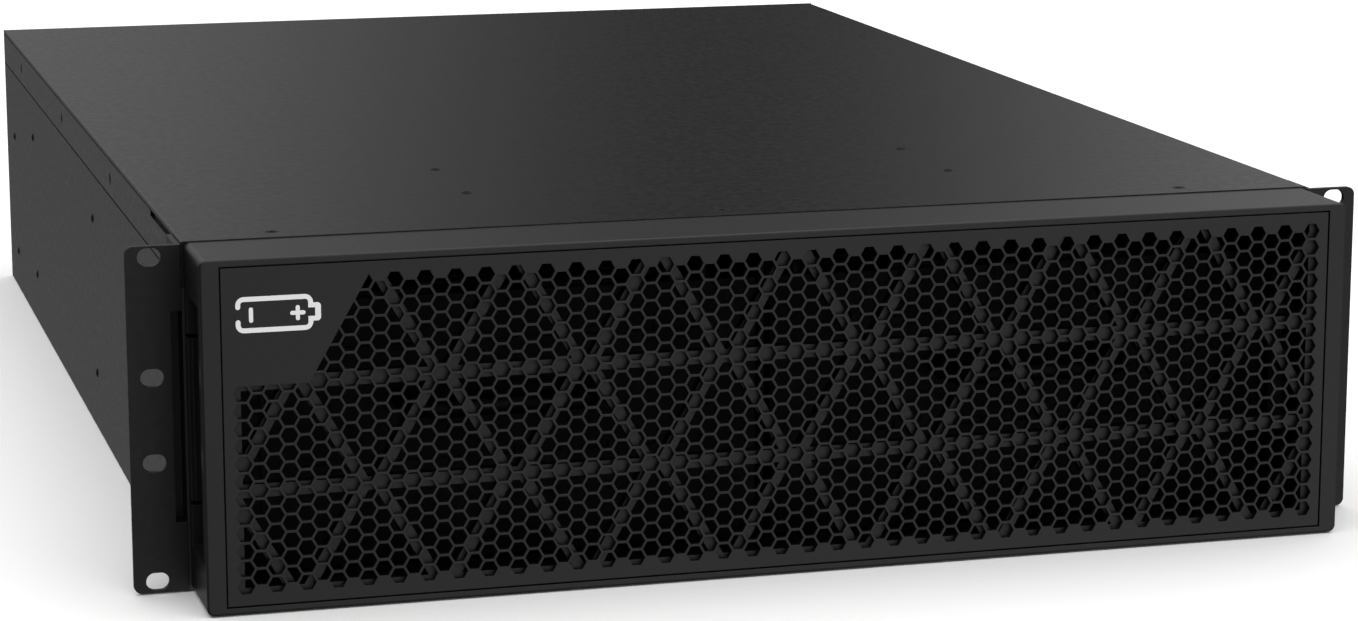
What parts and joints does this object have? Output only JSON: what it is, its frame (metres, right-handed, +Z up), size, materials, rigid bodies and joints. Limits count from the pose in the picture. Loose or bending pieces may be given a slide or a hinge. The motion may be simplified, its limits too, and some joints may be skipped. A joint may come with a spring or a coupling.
{
  "type": "rack battery enclosure",
  "caption": "Three-unit 19-inch rack battery enclosure with a snap-off hexagon-mesh bezel, slotted rack ears, draw-out battery modules and rear DC sockets with a breaker.",
  "frame": {"origin": "centre of the outer four rack slots, on the front plane of the rack ears", "axes": "+X to the right seen from the front, +Y to the rear along the enclosure's depth, +Z up; the front looks along -Y"},
  "size_m": [0.4826, 0.6886, 0.1307],
  "materials": {
    "cover_paint": "fine-textured black powder coat",
    "case_paint": "fine-textured black powder coat",
    "inner_sheet": "satin black paint",
    "module_face": "satin dark grey paint",
    "handle": "satin black paint",
    "bezel_plastic": "fine spark-eroded black moulding",
    "lattice_plastic": "satin black moulding",
    "symbol_print": "matt white print",
    "rail_plastic": "natural slippery plastic",
    "connector_plastic": "satin moulding",
    "breaker_plastic": "satin grey moulding",
    "toggle_plastic": "satin black moulding",
    "contact_metal": "plated",
    "board": "solder mask",
    "zinc_steel": "zinc plated",
    "brass_stud": "turned",
    "fuse_body": "ceramic",
    "cable_black": "matt sheath",
    "cable_red": "matt sheath",
    "lead_sheath": "matt sheath",
    "black_screw": "black oxide",
    "cell_case": "satin moulded case",
    "link_sleeve": "heat-shrink sleeve"
  },
  "bodies": {
    "enclosure": {"ball_studs": "zinc_steel", "base_tray": "case_paint", "bay_rails": "rail_plastic", "board_posts": "zinc_steel", "breaker_body": "breaker_plastic", "breaker_pin": "zinc_steel", "cable_breaker_feed": "cable_red", "cable_fuse_feed": "cable_black", "cable_module_link": "cable_black", "cable_output_minus": "cable_black", "cable_output_plus": "cable_red", "case_rivets": "black_screw", "centre_divider": "inner_sheet", "comms_board": "board", "comms_jacks": "connector_plastic", "cover_screws": "black_screw", "dc_busbars": "contact_metal", "dc_contacts": "contact_metal", "dc_sockets": "connector_plastic", "ear_screws": "black_screw", "front_frame": "inner_sheet", "fuse_holder": "connector_plastic", "ground_nuts": "zinc_steel", "ground_stud": "brass_stud", "hold_down_brackets": "inner_sheet", "main_fuse": "fuse_body", "module_sockets": "connector_plastic", "rack_ear_left": "case_paint", "rack_ear_right": "case_paint", "rear_brackets": "inner_sheet", "rear_bulkhead": "inner_sheet", "rear_panel": "case_paint", "rear_screws": "black_screw", "top_cover": "cover_paint"},
    "bezel": {"bezel_frame": "bezel_plastic", "grille_panel": "bezel_plastic", "grille_lattice": "lattice_plastic", "battery_symbol": "symbol_print", "ball_clips": "lattice_plastic"},
    "latch_left": {"latch_left": "bezel_plastic"},
    "latch_right": {"latch_right": "bezel_plastic"},
    "breaker_toggle": {"breaker_toggle": "toggle_plastic"},
    "battery_module_left": {"module_cells_left": "cell_case", "module_front_left": "module_face", "module_handle_left": "handle", "module_leads_left": "lead_sheath", "module_links_left": "link_sleeve", "module_plug_left": "connector_plastic", "module_screws_left": "black_screw", "module_tabs_left": "contact_metal", "module_tray_left": "inner_sheet"},
    "battery_module_right": {"module_cells_right": "cell_case", "module_front_right": "module_face", "module_handle_right": "handle", "module_leads_right": "lead_sheath", "module_links_right": "link_sleeve", "module_plug_right": "connector_plastic", "module_screws_right": "black_screw", "module_tabs_right": "contact_metal", "module_tray_right": "inner_sheet"}
  },
  "joints": [
    {"name": "bezel_pull", "type": "slide", "parent": "enclosure", "child": "bezel", "axis": [0, -1, 0], "range_m": [0, 0.6]},
    {"name": "module_slide_left", "type": "slide", "parent": "enclosure", "child": "battery_module_left", "axis": [0, -1, 0], "range_m": [0, 0.48]},
    {"name": "module_slide_right", "type": "slide", "parent": "enclosure", "child": "battery_module_right", "axis": [0, -1, 0], "range_m": [0, 0.48]},
    {"name": "latch_press_left", "type": "slide", "parent": "bezel", "child": "latch_left", "axis": [1, 0, 0], "range_m": [0, 0.0022], "stiffness_N_per_m": 4000},
    {"name": "latch_press_right", "type": "slide", "parent": "bezel", "child": "latch_right", "axis": [-1, 0, 0], "range_m": [0, 0.0022], "stiffness_N_per_m": 4000},
    {"name": "breaker_switch", "type": "hinge", "parent": "enclosure", "child": "breaker_toggle", "pos_m": [0.13, 0.6335, -0.004], "axis": [1, 0, 0], "range_deg": [0, 50]}
  ],
  "couplings": [
    {"joint": "module_slide_left", "follows": "bezel_pull", "ratio": 0.8},
    {"joint": "module_slide_right", "follows": "bezel_pull", "ratio": 0.8}
  ]
}
